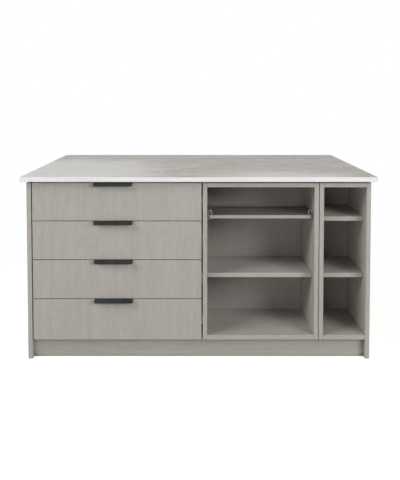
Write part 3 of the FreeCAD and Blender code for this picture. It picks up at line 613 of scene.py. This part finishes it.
def dress_metal():
    """Dress the runners, shelf pins and gallery, and return the runners' steel for the screws."""
    greased_and_shaded = steel("runner_steel", STEEL, "y", RUNNER_ROUGHNESS, RUNNER_GREASE_AND_SHADE)
    lightly_greased_and_shaded = steel("lightly_greased_and_shaded_runner_steel", STEEL, "y", RUNNER_ROUGHNESS, PULL_OUT_RUNNER_GREASE_AND_SHADE)
    for node in [name for name in NODES if "runner" in name] + ["shelf_pins"]:
        dress(node, lightly_greased_and_shaded if node.startswith("pull_out") else greased_and_shaded)
    bright = steel("gallery_steel", BRIGHT_STEEL, "y", GALLERY_ROUGHNESS, GALLERY_GREASE_AND_SHADE)
    dress("pull_out_shelf_gallery", bright)
    return greased_and_shaded


dress_boards()
dress_drawers()
RUNNER_STEEL = dress_metal()
BLACK_PLASTIC = moulded_plastic("foot_plastic")
dress("worktop", stone("worktop_stone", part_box("worktop")))
dress("worktop_packers", shade_painted_packer_board("shade_painted_packer_board"))
dress("levelling_feet", BLACK_PLASTIC)


# --- Screws and small fittings ------------------------------------------------------------------------
BOX_BOARD = 0.015
RUNNER_SHEET = 0.0012
PULL_SHEET = 0.0016
GALLERY_PLATE = 0.0016
BACKWARD = (0, 1, 0)
UPWARD = (0, 0, 1)

# A screw head's rings, from the face it stands on over the dome and down into the cross recess: each
# ring's share of the head's radius and of its height. A ring with None follows the recess's outline.
HEAD_RINGS = ((1.0, 0.0), (1.0, 0.3), (0.9, 0.72), (0.72, 1.0), (None, 1.0), (None, 0.35))
RECESS_BOTTOM = 0.3
HEAD_STEPS = 24
STEPS_PER_ARM = HEAD_STEPS // 4
# The recess's outline, as shares of the radius: an arm's end, its corners, and between two arms.
ARM_REACH = 0.54
ARM_EDGE = 0.50
ARM_VALLEY = 0.18

# Each kind of screw: the radius and the height of its head.
PULL_SCREW = (0.0034, 0.0007)
FRONT_SCREW = (0.0045, 0.0026)
BOX_SCREW = (0.0037, 0.0006)
RUNNER_SCREW = (0.0042, 0.0020)
GALLERY_SCREW = (0.0022, 0.0010)

# Where the screws sit: a drop, rise or inset is from an edge of what they hold, and a spread is from
# its middle. The runner's screws and lever are placed from the front of the drawer's side.
PULL_SCREW_DROP = 0.0075
PULL_SCREW_SPREAD = 0.062
FRONT_SCREW_INSET = 0.055
FRONT_SCREW_RISE = 0.045
FRONT_SCREW_DROP = 0.035
BOX_SCREW_INSET = 0.018
RUNNER_SCREW_PLACES = (0.036, 0.196, 0.386)
GALLERY_SCREW_INSET = (0.0138, 0.007)

# The release lever: a tapered bar from its pivot back to its grip, with ribs across the grip.
LEVER_PIVOT = 0.098
LEVER_GRIP = 0.146
LEVER_DROP = 0.002
LEVER_RADII = (0.0062, 0.0036)
LEVER_THICKNESS = 0.0022
LEVER_RIBS = 3
RIB_START = -0.010
RIB_SPACING = 0.004
RIB_HALF = 0.002
RIB_RADIUS = 0.0008
BAR_END_STEPS = 8


def recess_reach(step):
    """How far a cross recess reaches from the middle of a screw head, as a share of its radius."""
    from_arm = min(step % STEPS_PER_ARM, -step % STEPS_PER_ARM)
    return (ARM_REACH, ARM_EDGE, ARM_VALLEY, ARM_VALLEY)[from_arm]


def screw_head(mesh, place, out, radius, height):
    """A domed head with a cross recess, standing on a face; out points away from that face."""
    turn = out.to_track_quat("Z", "Y")

    def ring(share, lift):
        corners = []
        for step in range(HEAD_STEPS):
            angle = 2 * math.pi * step / HEAD_STEPS
            reach = radius * (share or recess_reach(step))
            flat = Vector((reach * math.cos(angle), reach * math.sin(angle), height * lift))
            corners.append(mesh.verts.new(place + turn @ flat))
        return corners

    rings = [ring(share, lift) for share, lift in HEAD_RINGS]
    for lower, upper in zip(rings, rings[1:]):
        for step in range(HEAD_STEPS):
            after = (step + 1) % HEAD_STEPS
            mesh.faces.new((lower[step], lower[after], upper[after], upper[step]))
    middle = mesh.verts.new(place + out * height * RECESS_BOTTOM)
    for step in range(HEAD_STEPS):
        mesh.faces.new((rings[-1][step], rings[-1][(step + 1) % HEAD_STEPS], middle))
    mesh.faces.new(list(reversed(rings[0])))


def tapered_bar(mesh, start, end, radii, out, thickness):
    """A flat bar with a round end of its own radius at each end, lying on a face."""
    along = (end - start).normalized()
    side = out.cross(along)
    outline = []
    for centre, radius, first in ((start, radii[0], 90), (end, radii[1], -90)):
        for step in range(BAR_END_STEPS + 1):
            angle = math.radians(first + step * 180 / BAR_END_STEPS)
            outline.append(centre + along * (radius * math.cos(angle)) + side * (radius * math.sin(angle)))
    low = [mesh.verts.new(corner) for corner in outline]
    high = [mesh.verts.new(corner + out * thickness) for corner in outline]
    for step in range(len(outline)):
        after = (step + 1) % len(outline)
        mesh.faces.new((low[step], low[after], high[after], high[step]))
    mesh.faces.new(high)
    mesh.faces.new(list(reversed(low)))


def piece(name, body, material, mesh):
    """Turn the finished mesh into a named piece that rides on a body."""
    bmesh.ops.recalc_face_normals(mesh, faces=mesh.faces)
    data = bpy.data.meshes.new(name)
    mesh.to_mesh(data)
    mesh.free()
    data.materials.append(material)
    made = bpy.data.objects.new(name, data)
    bpy.context.scene.collection.objects.link(made)
    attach(made, body)


def screws(name, body, places, outs, kind):
    """Equal screws on a body; outs gives the direction in which each head stands out."""
    mesh = bmesh.new()
    for place, out in zip(places, outs):
        screw_head(mesh, Vector(place), Vector(out), *kind)
    piece(name, body, RUNNER_STEEL, mesh)


def pull_screws(name):
    """Two flat heads that hold the pull's hook to the back of the front."""
    low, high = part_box(name + "_drawer_pull")
    middle = (low.x + high.x) / 2
    z = high.z - PULL_SHEET - PULL_SCREW_DROP
    places = [(middle + side * PULL_SCREW_SPREAD, high.y, z) for side in (-1, 1)]
    outs = [BACKWARD] * len(places)
    screws(name + "_drawer_pull_screws", name + "_drawer", places, outs, PULL_SCREW)


def front_screws(name):
    """Four pan heads inside the box that hold the drawer front."""
    low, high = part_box(name + "_drawer_box_ends")
    places = [(x, low.y + BOX_BOARD, z)
              for x in (low.x + FRONT_SCREW_INSET, high.x - FRONT_SCREW_INSET)
              for z in (low.z + FRONT_SCREW_RISE, high.z - FRONT_SCREW_DROP)]
    outs = [BACKWARD] * len(places)
    screws(name + "_drawer_front_screws", name + "_drawer", places, outs, FRONT_SCREW)


def box_screws(name):
    """Flush screws through the sides into the box front and back."""
    low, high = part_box(name + "_drawer_sides")
    places, outs = [], []
    for x, out in ((low.x, -1), (high.x, 1)):
        for y in (low.y + BOX_BOARD / 2, high.y - BOX_BOARD / 2):
            for z in (low.z + BOX_SCREW_INSET, high.z - BOX_SCREW_INSET):
                places.append((x, y, z))
                outs.append((out, 0, 0))
    screws(name + "_drawer_box_screws", name + "_drawer", places, outs, BOX_SCREW)


def release_lever(mesh, x, front, z, out):
    """A lever on one drawer member: x is the member's face, and front is the front of the drawer's side."""
    pivot = Vector((x, front + LEVER_PIVOT, z))
    grip = Vector((x, front + LEVER_GRIP, z - LEVER_DROP))
    tapered_bar(mesh, pivot, grip, LEVER_RADII, out, LEVER_THICKNESS)
    half = Vector((0, 0, RIB_HALF))
    for rib in range(LEVER_RIBS):
        middle = grip + out * LEVER_THICKNESS + Vector((0, RIB_START + rib * RIB_SPACING, 0))
        tapered_bar(mesh, middle - half, middle + half, (RIB_RADIUS, RIB_RADIUS), out, RIB_RADIUS)


def runner_fittings(name):
    """Screws and a black release lever inside each drawer member."""
    low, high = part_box(name + "_drawer_sides")
    z = (low.z + high.z) / 2
    places, outs = [], []
    levers = bmesh.new()
    for x, out in ((low.x - RUNNER_SHEET, -1), (high.x + RUNNER_SHEET, 1)):
        for along in RUNNER_SCREW_PLACES:
            places.append((x, low.y + along, z))
            outs.append((out, 0, 0))
        release_lever(levers, x, low.y, z, Vector((out, 0, 0)))
    screws(name + "_drawer_runner_screws", name + "_drawer", places, outs, RUNNER_SCREW)
    piece(name + "_drawer_release_levers", name + "_drawer", BLACK_PLASTIC, levers)


def gallery_screws():
    """One small screw in each foot of the wire gallery."""
    low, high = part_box("pull_out_shelf_gallery")
    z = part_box("pull_out_shelf_board")[1].z + GALLERY_PLATE
    inset_x, inset_y = GALLERY_SCREW_INSET
    places = [(x, y, z) for x in (low.x + inset_x, high.x - inset_x)
              for y in (low.y + inset_y, high.y - inset_y)]
    outs = [UPWARD] * len(places)
    screws("pull_out_shelf_gallery_screws", "pull_out_shelf", places, outs, GALLERY_SCREW)


for drawer in DRAWERS:
    pull_screws(drawer)
    front_screws(drawer)
    box_screws(drawer)
    runner_fittings(drawer)
gallery_screws()


# --- Floor, light and camera --------------------------------------------------------------------------
def white_for_eyes(tree):
    """1 where the ray comes from the camera, a reflection or a transmission, else 0."""
    path = new_node(tree, "ShaderNodeLightPath", {})
    seen = path.outputs["Is Camera Ray"]
    for kind in ("Is Glossy Ray", "Is Transmission Ray"):
        feeds = {0: seen, 1: path.outputs[kind]}
        seen = new_node(tree, "ShaderNodeMath", feeds, operation="MAXIMUM").outputs[0]
    return seen


def floor_material():
    """For the eye: white at a distance, and near the island pale with its shadow. For light: grey."""
    material = bpy.data.materials.new("pale_floor")
    material.use_nodes = True
    tree = material.node_tree
    tree.nodes.clear()

    def shader(kind, feeds):
        return new_node(tree, kind, feeds).outputs[0]

    place = new_node(tree, "ShaderNodeTexCoord", {}).outputs["Object"]
    distance = new_node(tree, "ShaderNodeVectorMath", {0: place}, operation="LENGTH").outputs["Value"]
    feeds = {"From Min": SHADOW_FADE[0], "From Max": SHADOW_FADE[1], "Value": distance}
    fade = new_node(tree, "ShaderNodeMapRange", feeds, interpolation_type="SMOOTHSTEP").outputs[0]
    lit = shader("ShaderNodeBsdfDiffuse", {"Color": FLOOR_GREY})
    glow = shader("ShaderNodeEmission", {"Strength": FLOOR_GLOW})
    shadowed = shader("ShaderNodeAddShader", {0: lit, 1: glow})
    white = shader("ShaderNodeEmission", {})
    seen = shader("ShaderNodeMixShader", {0: fade, 1: shadowed, 2: white})
    bounce = shader("ShaderNodeBsdfDiffuse", {"Color": BOUNCE_GREY})
    chosen = shader("ShaderNodeMixShader", {0: white_for_eyes(tree), 1: bounce, 2: seen})
    new_node(tree, "ShaderNodeOutputMaterial", {0: chosen})
    return material


def floor():
    """A pale floor that keeps the island's shadow and fades into the white background."""
    mesh = bpy.data.meshes.new("floor")
    corners = [(x * FLOOR_HALF, y * FLOOR_HALF, 0) for x, y in ((-1, -1), (1, -1), (1, 1), (-1, 1))]
    mesh.from_pydata(corners, [], [(0, 1, 2, 3)])
    mesh.materials.append(floor_material())
    plane = bpy.data.objects.new("floor", mesh)
    bpy.context.scene.collection.objects.link(plane)


def world():
    """White to look at, and a faint warm light to be lit by."""
    studio = bpy.data.worlds.new("studio")
    bpy.context.scene.world = studio
    studio.use_nodes = True
    tree = studio.node_tree
    tree.nodes.clear()
    feeds = {"Color": WARM_WHITE + (1.0,), "Strength": AMBIENT}
    ambient = new_node(tree, "ShaderNodeBackground", feeds).outputs[0]
    white = new_node(tree, "ShaderNodeBackground", {"Color": (1.0, 1.0, 1.0, 1.0)}).outputs[0]
    feeds = {0: white_for_eyes(tree), 1: ambient, 2: white}
    mixed = new_node(tree, "ShaderNodeMixShader", feeds).outputs[0]
    new_node(tree, "ShaderNodeOutputWorld", {0: mixed})


def soft_light(name, azimuth, elevation, power):
    """A large lamp that points at the island and isn't seen in its reflections."""
    light = bpy.data.lights.new(name, "AREA")
    light.shape = "RECTANGLE"
    light.size, light.size_y = LAMP_SIZE
    light.energy = power
    light.color = WARM_WHITE
    lamp = bpy.data.objects.new(name, light)
    turn = math.radians(azimuth)
    rise = math.radians(elevation)
    outward = Vector((math.sin(turn) * math.cos(rise), -math.cos(turn) * math.cos(rise), math.sin(rise)))
    lamp.location = Vector(LAMP_TARGET) + outward * LAMP_DISTANCE
    lamp.rotation_euler = outward.to_track_quat("Z", "Y").to_euler()
    lamp.visible_glossy = False
    bpy.context.scene.collection.objects.link(lamp)


def camera():
    """A camera at the photograph's viewing angle."""
    lens = bpy.data.cameras.new("camera")
    lens.lens = CAMERA_LENS
    lens.shift_x, lens.shift_y = CAMERA_SHIFT
    eye = bpy.data.objects.new("camera", lens)
    eye.location = CAMERA_PLACE
    eye.rotation_euler = (math.radians(90) - CAMERA_PITCH, 0, 0)
    bpy.context.scene.collection.objects.link(eye)
    bpy.context.scene.camera = eye


floor()
world()
for lamp_name, (lamp_azimuth, lamp_elevation, lamp_power) in LAMPS.items():
    soft_light(lamp_name, lamp_azimuth, lamp_elevation, lamp_power)
camera()
bpy.context.scene.view_settings.view_transform = "Standard"
